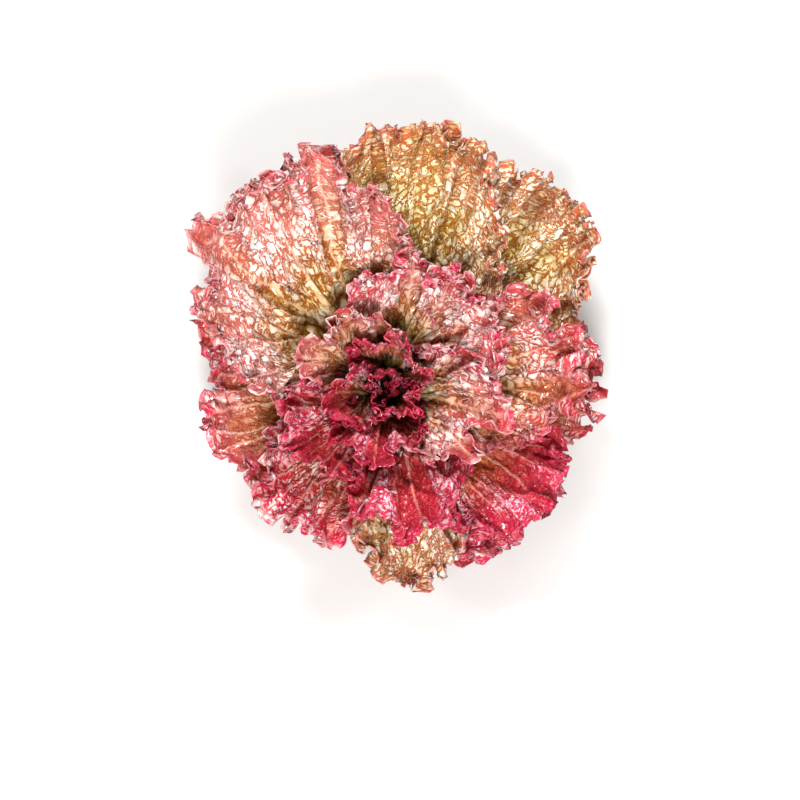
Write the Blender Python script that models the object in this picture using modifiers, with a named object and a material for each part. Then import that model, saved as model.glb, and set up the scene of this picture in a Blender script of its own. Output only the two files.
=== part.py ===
"""Lollo rosso lettuce head, as cut and set down on its stem.

The head is a short cut stem with 25 frilled leaves set round it in a spiral. Each leaf is a fan that narrows to
a clasping base, and it lies in a layer of its own. A layer is a bowl round the stem: the oldest leaves lie in
flat, drooping bowls at the bottom, and the youngest stand in steep, narrow ones. Bowls never cross, and a leaf
waves no further than half way to the next one, so that every leaf stays clear of its neighbours.

Metres, +Z up. The origin is the centre of the stem's cut face, and -Y is the side the head leans to.
"""

import math

import bmesh
import bpy
import numpy as np

# Stem: a stout core, cut flat below, with a rounded crown that the leaves stand on
STEM_RADIUS = 0.0165
STEM_SIDES = 28
CROWN_LOW = 0.010
CROWN_HEIGHT = 0.031
CROWN_END = math.radians(80)
CUT_BEVEL = 0.0012
BASE_GAP = 0.0013

# Spiral of leaves, from the oldest and lowest to the youngest
SPIRAL_STEP = math.radians(137.5)
FIRST_LEAF = -3
LAST_LEAF = 21

# How a layer rises from the crown and arches over
RISE_OUTER = math.radians(24)
RISE_INNER = math.radians(92)
RISE_POWER = 0.72
DROOP_OUTER = math.radians(84)
DROOP_INNER = math.radians(10)
DROOP_POWER = 1.6
REACH = 0.104
REACH_BACK = 0.036
REACH_FRONT = 0.014
LAYER_STEPS = 12

# The whole head leans to the front above the stem
LEAN = 0.42
LEAN_START = 0.012
LEAN_EASE = 0.045
FLOOR_EASE = 0.0025
FLOOR_CLEAR = 0.0008

# Leaf blade
BASE_WIDTH = 0.017
FAN_CENTRE = 0.40
FAN_TIP = 0.60
FAN_SIDE = 0.42
FAN_ROUNDNESS = 2.5
FAN_TURN = math.radians(98)
FAN_UNEVEN = 0.035
WIDEST_TURN = 1.75
NARROWEST_RADIUS = 0.012
BLADE_THICK = 0.0008
ROOT_THICK = 0.0034
ROOT_LENGTH = 0.55
RIB_LENGTH = 0.90
RIB_SHARE = 0.75

# Waves of the blade, across its fan. The broad one is a share of the leaf's length, and the others of their own
# width at the leaf's edge.
BROAD_DEPTH = 0.08
PLEAT_DEPTH = 0.27
PLEAT_START = 0.25
FRILL_DEPTH = 0.22
FRILL_START = 0.78
FRILLS_A_PLEAT = 4
TOOTH = 0.022
NEIGHBOUR_CLEAR = 0.0005
FREE_GAP = 0.060
GAP_BLEND = 6.0
SEED = 35

# Rows of points up the blade: how far along each lies, and its spans for two pleats of a large or a small leaf
ROW_PLACES = (0.0, 0.15, 0.32, 0.50, 0.68, 0.84, 1.0)
ROW_SPANS = (1, 1, 2, 4, 4, 8, 16)
ROW_SPANS_SMALL = (1, 1, 2, 4, 4, 4, 8)
SMALL_LENGTH = 0.078

# Leaf by leaf: length in metres, breadth, degrees moved from the spiral, pleats in the fan, cup of the sides in metres
LEAVES = {
    -3: (0.094, 1.05, 0, 8, 0.002),
    -2: (0.150, 1.00, 29, 8, 0.002),
    -1: (0.073, 1.10, -2, 8, 0.002),
    0: (0.109, 1.00, 5, 8, 0.003),
    1: (0.105, 1.00, 10, 8, 0.003),
    2: (0.101, 0.66, 5, 6, 0.002),
    3: (0.152, 0.95, -2, 8, 0.004),
    4: (0.094, 1.05, -2, 8, 0.004),
    5: (0.106, 1.00, -3, 8, 0.003),
    6: (0.164, 0.84, -24, 8, 0.005),
    7: (0.095, 1.05, -7, 8, 0.002),
    8: (0.120, 1.00, -5, 8, 0.003),
    9: (0.163, 1.04, -36, 8, 0.004),
    10: (0.096, 1.00, -8, 6, 0.002),
    11: (0.116, 1.28, -15, 8, 0.003),
    12: (0.086, 1.05, 6, 6, 0.002),
    13: (0.100, 1.00, 2, 6, 0.002),
    14: (0.090, 1.00, -4, 6, 0.003),
    15: (0.080, 1.00, 0, 6, 0.002),
    16: (0.082, 1.00, 32, 6, 0.001),
    17: (0.076, 1.00, 10, 6, 0.002),
    18: (0.068, 0.95, 0, 6, 0.002),
    19: (0.062, 0.80, 0, 4, 0.001),
    20: (0.052, 0.60, 0, 2, 0.003),
    21: (0.050, 0.56, 0, 2, 0.001),
}
INDEXES = range(FIRST_LEAF, LAST_LEAF + 1)
LEAF_COUNT = len(INDEXES)


class Leaf:
    """One leaf's place in the spiral and its size."""

    def __init__(self, index):
        length, breadth, nudge, pleats, cup = LEAVES[index]
        self.order = index - FIRST_LEAF + 1
        self.name = f"leaf_{self.order:02d}"
        self.turn = SPIRAL_STEP * index + math.radians(nudge)
        self.layer = (self.order - 0.5) / LEAF_COUNT
        self.length = length
        self.half_width = FAN_SIDE * breadth * length
        self.base_width = BASE_WIDTH * (1 - 0.45 * self.layer)
        self.root_thick = BLADE_THICK + (ROOT_THICK - BLADE_THICK) * (1 - self.layer)
        self.pleats = pleats
        self.cup = cup
        draw = np.random.default_rng(SEED + self.order)
        self.sway = draw.uniform(-1.0, 1.0, 4)
        self.swell = draw.uniform(0.0, 2 * math.pi, 4)


def crown_point(layer):
    """Radius and height where a layer leaves the stem."""
    climb = layer * CROWN_END
    return (STEM_RADIUS + BASE_GAP) * np.cos(climb), CROWN_LOW + (CROWN_HEIGHT + BASE_GAP) * np.sin(climb)


def slope(run, layer, turn):
    """Angle above the horizontal of a layer, a distance run out from the stem, on the side of the head at turn."""
    rise = RISE_OUTER + (RISE_INNER - RISE_OUTER) * layer**RISE_POWER
    droop = DROOP_INNER + (DROOP_OUTER - DROOP_INNER) * (1 - layer)
    side = np.sin(turn)
    reach = REACH + np.where(side > 0, REACH_BACK, REACH_FRONT) * side
    return rise - droop * (run / reach) ** DROOP_POWER


def arch(run, layer, turn):
    """Radius and height of a layer, a distance run out from the stem."""
    start_radius, start_height = crown_point(layer)
    radius = np.zeros_like(run)
    height = np.zeros_like(run)
    for step in range(LAYER_STEPS):
        angle = slope(run * (step + 0.5) / LAYER_STEPS, layer, turn)
        radius += np.cos(angle) / LAYER_STEPS
        height += np.sin(angle) / LAYER_STEPS
    return start_radius + run * radius, start_height + run * height


def layer_room(run, layer, turn):
    """Distance across the layers for a step of 1 in layer, square to the blade."""
    small = 0.004
    low_radius, low_height = arch(run, layer - small, turn)
    high_radius, high_height = arch(run, np.minimum(layer + small, 1.0), turn)
    angle = slope(run, layer, turn)
    across = (high_height - low_height) * np.cos(angle) - (high_radius - low_radius) * np.sin(angle)
    return np.maximum(across / (2 * small), 0.02)


def lean(height):
    """How far the head leans to the front at a height."""
    above = np.maximum(height - LEAN_START, 0.0)
    return LEAN * above**2 / (above + LEAN_EASE)


def world(radius, turn, height):
    """Points of the head in space. A blade that would sink below the surface it lies on flattens out on it."""
    level = height / FLOOR_EASE
    height = FLOOR_CLEAR + FLOOR_EASE * np.where(level > 30, level, np.log1p(np.exp(np.minimum(level, 30))))
    x = radius * np.cos(turn)
    y = radius * np.sin(turn) - lean(height)
    return np.stack([x, y, height], -1)


def fan_radius(leaf, angle):
    """From the fan's centre to its edge, at an angle from the midrib."""
    tip = np.abs(np.cos(angle)) / (FAN_TIP * leaf.length)
    side = np.abs(np.sin(angle)) / leaf.half_width
    return (tip**FAN_ROUNDNESS + side**FAN_ROUNDNESS) ** (-1 / FAN_ROUNDNESS)


def fan_angle(leaf, across):
    """Angle from the midrib to a ray of the fan. The rays are a little unevenly spread."""
    uneven = np.sin(2 * math.pi * across) * np.sin(leaf.swell[3]) + np.sin(math.pi * across) * np.cos(leaf.swell[3])
    return (across + FAN_UNEVEN * uneven) * FAN_TURN


def fan_point(leaf, along, across):
    """Place on the flat leaf: along runs from 0 at the base to 1 at the edge, and across from -1 to 1."""
    angle = fan_angle(leaf, across)
    edge = fan_radius(leaf, angle) * (1 + TOOTH * frill_wave(leaf, across) * (along > 0.99))
    edge_run = FAN_CENTRE * leaf.length + edge * np.cos(angle)
    edge_side = edge * np.sin(angle)
    root = (1 - along) ** 2
    middle = 2 * along * (1 - along)
    run = middle * 0.32 * leaf.length + along**2 * edge_run
    side = (root * 0.5 + middle * 0.62) * across * leaf.base_width + along**2 * edge_side
    return run, side


def wrap_radius(leaf, run):
    """Radius that turns a distance across the leaf into an angle round the head."""
    radius, _ = arch(run, np.full_like(run, leaf.layer), np.full_like(run, leaf.turn))
    return np.hypot(radius, NARROWEST_RADIUS)


def wrapped(leaf, run, side):
    """Angle round the head of a point on the flat leaf."""
    return WIDEST_TURN * np.tanh(side / wrap_radius(leaf, run) / WIDEST_TURN)


def apart(first, second):
    """Angle from one turn to another, the short way round."""
    return (first - second + math.pi) % (2 * math.pi) - math.pi


def presence(leaf, run, turn):
    """1 where the leaf covers that place of the head, falling to 0 beyond its edge."""
    share = np.clip(apart(turn, leaf.turn) / WIDEST_TURN, -0.999, 0.999)
    side = np.abs(np.arctanh(share) * WIDEST_TURN * wrap_radius(leaf, run))
    centre = FAN_CENTRE * leaf.length
    beyond = np.maximum(run - centre, 0) / (FAN_TIP * leaf.length)
    widen = np.clip(run / centre, 0, 1)
    half = leaf.base_width * 0.75 + (leaf.half_width - leaf.base_width * 0.75) * widen**1.5
    reach = (beyond**FAN_ROUNDNESS + (side / half) ** FAN_ROUNDNESS) ** (1 / FAN_ROUNDNESS)
    fade = np.clip((1.70 - reach) / 0.42, 0, 1)
    return fade * fade * (3 - 2 * fade)


def room(leaf, leaves, run, turn, clear):
    """How far the leaf may wave up and down at each place: half the way to the next leaf, or to the head's axis."""
    level = np.full_like(run, leaf.layer)
    scale = layer_room(run, level, turn)
    up = arch(run, level, turn)[0] ** -GAP_BLEND
    down = np.full_like(run, FREE_GAP**-GAP_BLEND)
    for other in leaves:
        if other is leaf:
            continue
        there = presence(other, run, turn)
        gap = abs(other.layer - leaf.layer) * scale + FREE_GAP * (1 - there)
        if other.layer > leaf.layer:
            up += gap**-GAP_BLEND
        else:
            down += gap**-GAP_BLEND
    up, down = (0.5 * total ** (-1 / GAP_BLEND) - clear for total in (up, down))
    return np.maximum(up, 0.0), np.maximum(down, 0.0), scale


def frill_wave(leaf, across):
    """The edge frill, from -1 in its hollows to 1 on its crests."""
    return -np.cos(math.pi * leaf.pleats * FRILLS_A_PLEAT * (across + 1))


def waves(leaf, along, across):
    """Height of the blade's pleats and edge frill above its layer. The midrib lies in a hollow."""
    width = fan_radius(leaf, fan_angle(leaf, across)) * 2 * FAN_TURN / leaf.pleats
    swell = 1 + 0.22 * np.sin(1.5 * math.pi * (across + 1) + leaf.swell[0])
    pleat_share = np.clip((along - PLEAT_START) / (1 - PLEAT_START), 0, 1) ** 1.4
    pleat = -np.cos(math.pi * leaf.pleats * (across + 1)) * PLEAT_DEPTH * width * pleat_share * swell
    frill_share = np.clip((along - FRILL_START) / (1 - FRILL_START), 0, 1)
    frill = frill_wave(leaf, across) * FRILL_DEPTH * width / FRILLS_A_PLEAT * frill_share
    sway = sum(leaf.sway[n] * np.sin((0.7 + 0.7 * n) * math.pi * across + leaf.swell[n]) for n in range(3))
    return pleat + frill + BROAD_DEPTH * leaf.length * sway * along**1.6 + leaf.cup * across**2 * along


def stoutness(along, across):
    """Share of the root's thickness that the blade has: most at the base, then down the midrib to the edge."""
    root = np.clip(1 - along / ROOT_LENGTH, 0, 1) ** 1.5
    rib = RIB_SHARE * (np.abs(across) < 0.01) * np.clip(1 - along / RIB_LENGTH, 0, 1)
    return np.maximum(root, rib)


def blade_points(leaf, leaves, along, across):
    """Points of the leaf's mid surface in space."""
    run, side = fan_point(leaf, along, across)
    turn = leaf.turn + wrapped(leaf, run, side)
    half_thick = (BLADE_THICK + (leaf.root_thick - BLADE_THICK) * stoutness(along, across)) / 2
    up, down, scale = room(leaf, leaves, run, turn, half_thick + NEIGHBOUR_CLEAR)
    crowding = np.sqrt(1 - (NARROWEST_RADIUS / wrap_radius(leaf, run)) ** 2)
    wanted = waves(leaf, along, across) * crowding
    limit = np.where(wanted > 0, up, down) + 1e-6
    offset = limit * np.tanh(wanted / limit)
    radius, height = arch(run, np.clip(leaf.layer + offset / scale, 0.0, 1.0), turn)
    return world(radius, turn, height)


def fan_rows(leaf):
    """The blade's rows of points as (along, across) pairs. The rows double towards the edge."""
    rows = []
    for place, spans in zip(ROW_PLACES, ROW_SPANS_SMALL if leaf.length < SMALL_LENGTH else ROW_SPANS):
        count = spans * leaf.pleats // 2
        rows.append([(place, 2 * k / count - 1) for k in range(count + 1)])
    return rows


def link_object(name, mesh, material, collection):
    obj = bpy.data.objects.new(name, mesh)
    obj.data.materials.append(material)
    collection.objects.link(obj)
    return obj


def make_leaf(leaf, leaves, material, collection):
    """A fan of triangles, whose rows have unlike numbers of points, thickened to a blade with a stout base."""
    rows = fan_rows(leaf)
    along, across = np.array([place for row in rows for place in row]).T
    shape = bmesh.new()
    made = iter([shape.verts.new(point) for point in blade_points(leaf, leaves, along, across)])
    grid = [[next(made) for _ in row] for row in rows]
    for low, high in zip(grid, grid[1:]):
        for k in range(len(low) - 1):
            if len(high) == len(low):
                shape.faces.new((low[k], high[k], high[k + 1]))
                shape.faces.new((low[k], high[k + 1], low[k + 1]))
            else:
                left, middle, right = high[2 * k : 2 * k + 3]
                shape.faces.new((low[k], left, middle))
                shape.faces.new((low[k], middle, low[k + 1]))
                shape.faces.new((low[k + 1], middle, right))
    mesh = bpy.data.meshes.new(leaf.name)
    shape.to_mesh(mesh)
    shape.free()
    obj = link_object(leaf.name, mesh, material, collection)
    stout = obj.vertex_groups.new(name="stout")
    for number, share in enumerate(stoutness(along, across)):
        stout.add([number], float(share), "REPLACE")
    thicken = obj.modifiers.new("blade", "SOLIDIFY")
    thicken.thickness = leaf.root_thick
    thicken.offset = 0.0
    thicken.vertex_group = stout.name
    thicken.thickness_vertex_group = BLADE_THICK / leaf.root_thick
    return obj


def make_stem(material, collection):
    """A turned core with a flat cut face and a rounded crown, bent to the head's lean."""
    climbs = [CROWN_END * step / 6 for step in range(7)]
    profile = [(STEM_RADIUS * math.cos(c), CROWN_LOW + CROWN_HEIGHT * math.sin(c)) for c in climbs[::-1]]
    profile = [(0.0, profile[0][1] + 0.0004)] + profile
    profile += [(STEM_RADIUS, CUT_BEVEL), (STEM_RADIUS - CUT_BEVEL, 0.0), (0.0, 0.0)]
    outline = bpy.data.meshes.new("stem_outline")
    steps = [(k, k + 1) for k in range(len(profile) - 1)]
    outline.from_pydata([(radius, 0.0, height) for radius, height in profile], steps, [])
    turned = bpy.data.objects.new("stem_outline", outline)
    collection.objects.link(turned)
    screw = turned.modifiers.new("turn", "SCREW")
    screw.steps = screw.render_steps = STEM_SIDES
    screw.use_merge_vertices = True
    screw.merge_threshold = 0.0001
    graph = bpy.context.evaluated_depsgraph_get()
    mesh = bpy.data.meshes.new_from_object(turned.evaluated_get(graph))
    bpy.data.objects.remove(turned)
    for vertex in mesh.vertices:
        vertex.co.y -= float(lean(vertex.co.z))
    mesh.shade_smooth()
    mesh.set_sharp_from_angle(angle=math.radians(40))
    return link_object("stem", mesh, material, collection)


def make_material(name, colour, roughness):
    material = bpy.data.materials.new(name)
    material.use_nodes = True
    shader = material.node_tree.nodes["Principled BSDF"]
    shader.inputs["Base Color"].default_value = (*colour, 1.0)
    shader.inputs["Roughness"].default_value = roughness
    shader.inputs["Metallic"].default_value = 0.0
    return material


def build_head():
    for old in list(bpy.data.objects):
        bpy.data.objects.remove(old)
    head = bpy.data.collections.new("lollo_rosso_lettuce")
    bpy.context.scene.collection.children.link(head)
    stem_cut = make_material("stem_pale_green", (0.66, 0.66, 0.40), 0.5)
    outer = make_material("leaf_bronze", (0.60, 0.30, 0.20), 0.35)
    inner = make_material("leaf_crimson", (0.48, 0.08, 0.11), 0.35)
    make_stem(stem_cut, head)
    leaves = [Leaf(index) for index in INDEXES]
    for leaf in leaves:
        make_leaf(leaf, leaves, outer if leaf.order <= 13 else inner, head)


build_head()
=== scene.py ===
"""Lollo rosso lettuce head, dressed for rendering.

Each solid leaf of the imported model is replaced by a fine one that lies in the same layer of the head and
has the same pleats. The fine leaf adds ribs, blisters between them, and an edge of ruffles on ruffles with
small teeth. The stem stays as packed and gets a surface of its own. Metres, +Z up, and -Y is the side the
head leans to.
"""

import math

import bpy
import numpy as np
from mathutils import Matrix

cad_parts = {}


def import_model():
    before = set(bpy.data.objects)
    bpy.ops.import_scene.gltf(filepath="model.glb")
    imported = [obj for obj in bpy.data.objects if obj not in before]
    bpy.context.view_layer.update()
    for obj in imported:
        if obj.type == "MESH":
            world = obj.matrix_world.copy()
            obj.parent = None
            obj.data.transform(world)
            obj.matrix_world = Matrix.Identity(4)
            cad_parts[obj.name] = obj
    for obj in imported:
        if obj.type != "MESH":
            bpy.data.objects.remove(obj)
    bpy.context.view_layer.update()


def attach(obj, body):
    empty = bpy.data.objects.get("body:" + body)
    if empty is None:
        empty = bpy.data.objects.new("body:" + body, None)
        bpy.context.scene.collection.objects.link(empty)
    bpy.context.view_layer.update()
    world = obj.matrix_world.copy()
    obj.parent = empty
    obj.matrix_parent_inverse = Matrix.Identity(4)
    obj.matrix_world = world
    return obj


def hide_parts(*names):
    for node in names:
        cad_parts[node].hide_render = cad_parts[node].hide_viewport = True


# Stem and crown, as in the part
STEM_RADIUS = 0.0165
CROWN_LOW = 0.010
CROWN_HEIGHT = 0.031
CROWN_END = math.radians(80)
BASE_GAP = 0.0013

# Spiral of leaves, as in the part
SPIRAL_STEP = math.radians(137.5)
FIRST_LEAF = -3
LAST_LEAF = 21
SEED = 35
FINE_SEED = 1000 * SEED
OUTER_LEAVES = 13

# Layers of the head, as in the part
RISE_OUTER = math.radians(24)
RISE_INNER = math.radians(92)
RISE_POWER = 0.72
DROOP_OUTER = math.radians(84)
DROOP_INNER = math.radians(10)
DROOP_POWER = 1.6
REACH = 0.104
REACH_BACK = 0.036
REACH_FRONT = 0.014
LAYER_STEPS = 12
LEAN = 0.42
LEAN_START = 0.012
LEAN_EASE = 0.045
FLOOR_EASE = 0.0025
FLOOR_CLEAR = 0.0008

# Fan of a leaf and its large waves, as in the part
BASE_WIDTH = 0.017
BASE_TAPER = 0.45
ROW_BEND = 0.32
SIDE_BEND = 0.62
FAN_CENTRE = 0.40
FAN_TIP = 0.60
FAN_SIDE = 0.42
FAN_ROUNDNESS = 2.5
FAN_TURN = math.radians(98)
FAN_UNEVEN = 0.035
WIDEST_TURN = 1.75
NARROWEST_RADIUS = 0.012
BROAD_DEPTH = 0.08
PLEAT_DEPTH = 0.27
PLEAT_START = 0.25
FREE_GAP = 0.060
GAP_BLEND = 6.0
GAP_SPARE = 0.0009
COVER_END = 1.70
COVER_FADE = 0.42

# Fineness of the leaf meshes: spacing of the points and step between rows, in the blade and in its edge
# zone. The lowest leaves are mostly hidden and a little coarser. A row has twice the spans of the one below
# where that one's points would lie too far apart. The room for waves is worked out on a grid of rows and
# columns.
BLADE_SPACING = 0.00112
BLADE_STEP = 0.00125
EDGE_SPACING = 0.00054
EDGE_STEP = 0.00070
EDGE_ZONE = (0.005, 0.012)
LOW_LEAVES = 5
LOW_COARSER = 1.35
FIRST_SPANS = 8
SPAN_STRETCH = 1.4
ROOM_GRID = (40, 80)
LOWEST_POINT = 0.0006

# Thickness of the blade and of its thick base, how far the base sinks towards the stem, and the number of
# steps between thin and thick
BLADE_THICK = 0.00045
ROOT_THICK = 0.0042
ROOT_SINK = 0.0030
STOUT_LEVELS = 60

# Ribs: share of the way along where each pair leaves the midrib, and where it lies across the fan
RIB_PAIRS = ((0.07, 0.76), (0.17, 0.51), (0.30, 0.255))
RIB_FORKS = ((0.50, 0.115), (0.60, -0.12))
RIB_SPREAD = 0.13
RIB_WIDTH = 0.0018
RIB_THINNEST = 0.00028
RIB_GROOVE = 0.0022

# Puffs of the blade between its ribs: width, length and height
PUFFS = (0.0125, 0.024, 0.0032)

# Net of small veins that parts the blisters. Each level has cells a centimetre along the leaf and across it
# at the edge, and the share along where it begins and where it is whole. The first is there from the base.
# The net sways and twists by a share of a cell, and begins at another place on each leaf.
NET_LEVELS = ((0.55, 0.70, -1.0, -0.5), (0.95, 1.50, 0.40, 0.62), (1.50, 2.80, 0.72, 0.92))
NET_SWAY = 0.6
NET_TWIST = 0.84
NET_SHIFT = 13.7

# How far the net runs out with the distance from the head's axis, and not with the length of the midrib
NET_OUTWARD = 0.5

# Blisters: their height, how many mm in from a groove their colour and their dome climb, and how fine they
# are, on plain leaves and at most more on red and on olive ones
BLISTER_HEIGHT = 0.0020
BLISTER_SIDE = 0.90
BLISTER_ROUND = 1.5
BLISTER_FINENESS = 1.15
BLISTER_FINER = 0.8
OLIVE_FINER = 0.7

# Ruffles of the edge, and crimps on them: length of a wave along the edge, depth as a share of it, how far
# in it starts, and how far it folds over as a share of its length
RUFFLE = (0.0118, 0.38, 0.021, 0.13)
CRIMP = (0.0048, 0.46, 0.0105, 0.14)
CRINKLE = (0.0024, 0.42, 0.0050, 0.08)
WAVE_WANDER = 1.6

# Pleats: how far they fold over, wander and differ in size. Dents of the blade: their pitch and height.
PLEAT_OVERHANG = 0.055
PLEAT_WANDER = 0.9
PLEAT_UNEVEN = 0.75
DENTS = (0.024, 0.0044)

# How the edge fits the leaf: room that ruffles always have, their size on short leaves, and how much finer
# and flatter they are on the inner leaves
LEAST_RUFFLE_ROOM = 0.0042
EDGE_SMALLEST = 0.45
EDGE_GROWTH = 5.0
INNER_LAYERS = (0.40, 0.85)
INNER_FINER = 0.42
INNER_FLATTER = 0.25

# Roll of the edge: how far in it starts, the angle it turns up by, on average and at most more or less, how
# much less that is in the heart, the least angle, and how much the blade grows to make up for it
ROLL_REACH = 0.015
ROLL_TURN = 0.60
ROLL_SWING = 1.10
ROLL_INNER = 0.6
ROLL_LEAST = 0.05
ROLL_LONGER = 0.3

# Outline of the edge: length and depth of the large lobes, of the round small ones, and of the teeth
LOBES = ((0.024, 0.0030), (0.0072, 0.0042), (0.0027, 0.0023))
LOBE_WANDER = 1.2
LOBE_ROUNDNESS = 0.6
LOBE_LEVEL = 0.62
LOBE_REACH = 2.6

# Leaf by leaf: length in metres, breadth, degrees moved from the spiral, pleats, cup, and how red, how
# green and how pale it is
LEAVES = {
    -3: (0.094, 1.05, 0, 8, 0.002, 0.75, 0.05, 0.50),
    -2: (0.150, 1.00, 29, 8, 0.002, 0.20, 0.35, 0.30),
    -1: (0.073, 1.10, -2, 8, 0.002, 0.50, 0.05, 0.80),
    0: (0.109, 1.00, 5, 8, 0.003, 0.45, 0.70, -0.20),
    1: (0.105, 1.00, 10, 8, 0.003, 0.44, 0.10, 0.55),
    2: (0.101, 0.66, 5, 6, 0.002, -0.10, 0.75, 1.30),
    3: (0.152, 0.95, -2, 8, 0.004, 0.02, 0.85, 0.60),
    4: (0.094, 1.05, -2, 8, 0.004, 0.40, 0.10, 0.55),
    5: (0.106, 1.00, -3, 8, 0.003, 0.72, 0.20, -0.10),
    6: (0.164, 0.84, -24, 8, 0.005, 0.02, 0.90, 0.60),
    7: (0.095, 1.05, -7, 8, 0.002, 0.74, 0.00, 1.00),
    8: (0.120, 1.00, -5, 8, 0.003, 0.36, 0.50, 0.50),
    9: (0.163, 1.04, -36, 8, 0.004, 0.22, 0.35, 0.75),
    10: (0.096, 1.00, -8, 6, 0.002, 1.05, 0.00, 0.10),
    11: (0.116, 1.28, -15, 8, 0.003, 0.42, 0.08, 0.95),
    12: (0.086, 1.05, 6, 6, 0.002, 0.84, 0.00, 0.50),
    13: (0.100, 1.00, 2, 6, 0.002, 0.44, 0.08, 0.90),
    14: (0.090, 1.00, -4, 6, 0.003, 0.24, 0.30, 0.80),
    15: (0.080, 1.00, 0, 6, 0.002, 0.95, 0.00, 0.20),
    16: (0.082, 1.00, 32, 6, 0.001, 0.60, 0.00, 0.35),
    17: (0.076, 1.00, 10, 6, 0.002, 0.70, 0.00, 0.30),
    18: (0.068, 0.95, 0, 6, 0.002, 0.95, 0.00, 0.00),
    19: (0.062, 0.80, 0, 4, 0.001, 0.98, 0.05, 0.00),
    20: (0.052, 0.60, 0, 2, 0.003, 1.00, 0.00, 0.00),
    21: (0.050, 0.56, 0, 2, 0.001, 1.05, 0.00, 0.00),
}
INDEXES = range(FIRST_LEAF, LAST_LEAF + 1)
LEAF_COUNT = len(INDEXES)


class Leaf:
    """One leaf's place in the spiral, its size, its colour and its own random draws."""

    def __init__(self, index):
        length, breadth, nudge, pleats, cup, redness, greenness, paleness = LEAVES[index]
        self.order = index - FIRST_LEAF + 1
        self.name = f"leaf_{self.order:02d}"
        self.turn = SPIRAL_STEP * index + math.radians(nudge)
        self.layer = (self.order - 0.5) / LEAF_COUNT
        self.length = length
        self.half_width = FAN_SIDE * breadth * length
        self.base_width = BASE_WIDTH * (1 - BASE_TAPER * self.layer)
        self.pleats = pleats
        self.cup = cup
        self.tint = (redness, greenness, paleness)
        draw = np.random.default_rng(SEED + self.order)
        self.sway = draw.uniform(-1.0, 1.0, 4)
        self.swell = draw.uniform(0.0, 2 * math.pi, 4)
        self.draw = np.random.default_rng(FINE_SEED + self.order)
        self.edge_length = row_length(self, 1.0)
        self.edge_scale = min(1.0, EDGE_SMALLEST + EDGE_GROWTH * length)
        self.inner = float(ease(self.layer, *INNER_LAYERS))
        coloured = max(ease(redness, 0.2, 0.8), OLIVE_FINER * ease(greenness, 0.1, 0.7))
        self.fineness = BLISTER_FINENESS + BLISTER_FINER * float(coloured)


def crown_point(layer):
    """Radius and height where a layer leaves the stem."""
    climb = layer * CROWN_END
    return (STEM_RADIUS + BASE_GAP) * np.cos(climb), CROWN_LOW + (CROWN_HEIGHT + BASE_GAP) * np.sin(climb)


def slope(run, layer, turn):
    """Angle of a layer above the horizontal, a distance run out from the stem, on the head's side at turn."""
    rise = RISE_OUTER + (RISE_INNER - RISE_OUTER) * np.maximum(layer, 0) ** RISE_POWER
    droop = DROOP_INNER + (DROOP_OUTER - DROOP_INNER) * (1 - layer)
    side = np.sin(turn)
    reach = REACH + np.where(side > 0, REACH_BACK, REACH_FRONT) * side
    return rise - droop * (np.maximum(run, 0) / reach) ** DROOP_POWER


def arch(run, layer, turn):
    """Radius and height of a layer, a distance run out from the stem."""
    start_radius, start_height = crown_point(layer)
    radius = np.zeros_like(run)
    height = np.zeros_like(run)
    for step in range(LAYER_STEPS):
        angle = slope(run * (step + 0.5) / LAYER_STEPS, layer, turn)
        radius += np.cos(angle) / LAYER_STEPS
        height += np.sin(angle) / LAYER_STEPS
    return start_radius + run * radius, start_height + run * height


def layer_room(run, layer, turn):
    """Distance across the layers for a step of 1 in layer, square to the blade."""
    small = 0.004
    low_radius, low_height = arch(run, layer - small, turn)
    high_radius, high_height = arch(run, np.minimum(layer + small, 1.0), turn)
    angle = slope(run, layer, turn)
    across = (high_height - low_height) * np.cos(angle) - (high_radius - low_radius) * np.sin(angle)
    return np.maximum(across / (2 * small), 0.02)


def lean(height):
    """How far the head leans to the front at a height."""
    above = np.maximum(height - LEAN_START, 0.0)
    return LEAN * above**2 / (above + LEAN_EASE)


def world(radius, turn, height):
    """Points of the head in space. A blade that would sink below the floor flattens out on it."""
    height = FLOOR_CLEAR + FLOOR_EASE * np.logaddexp(0, height / FLOOR_EASE)
    x = radius * np.cos(turn)
    y = radius * np.sin(turn) - lean(height)
    return np.stack([x, y, height], -1)


def fan_radius(leaf, angle):
    """From the fan's centre to its edge, at an angle from the midrib."""
    tip = np.abs(np.cos(angle)) / (FAN_TIP * leaf.length)
    side = np.abs(np.sin(angle)) / leaf.half_width
    return (tip**FAN_ROUNDNESS + side**FAN_ROUNDNESS) ** (-1 / FAN_ROUNDNESS)


def fan_angle(leaf, across):
    """Angle from the midrib to a ray of the fan. The rays are a little unevenly spread."""
    wide, narrow = np.sin(math.pi * across), np.sin(2 * math.pi * across)
    uneven = narrow * np.sin(leaf.swell[3]) + wide * np.cos(leaf.swell[3])
    return (across + FAN_UNEVEN * uneven) * FAN_TURN


def fan_point(leaf, along, across, longer=0.0):
    """Place on the flat leaf: along runs from 0 at the base to 1 at the edge, and across from -1 to 1."""
    angle = fan_angle(leaf, across)
    edge = fan_radius(leaf, angle) + longer
    edge_run = FAN_CENTRE * leaf.length + edge * np.cos(angle)
    edge_side = edge * np.sin(angle)
    root = (1 - along) ** 2
    middle = 2 * along * (1 - along)
    run = middle * ROW_BEND * leaf.length + along**2 * edge_run
    side = (root * 0.5 + middle * SIDE_BEND) * across * leaf.base_width + along**2 * edge_side
    return run, side


def midrib_share(along):
    """Where a row crosses the midrib, from 0 at the base to 1 at the tip."""
    return 2 * ROW_BEND * along * (1 - along) + along**2


def wrap_radius(leaf, run):
    """Radius that turns a distance across the leaf into an angle round the head."""
    radius, _ = arch(run, np.full_like(run, leaf.layer), np.full_like(run, leaf.turn))
    return np.hypot(radius, NARROWEST_RADIUS)


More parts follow.
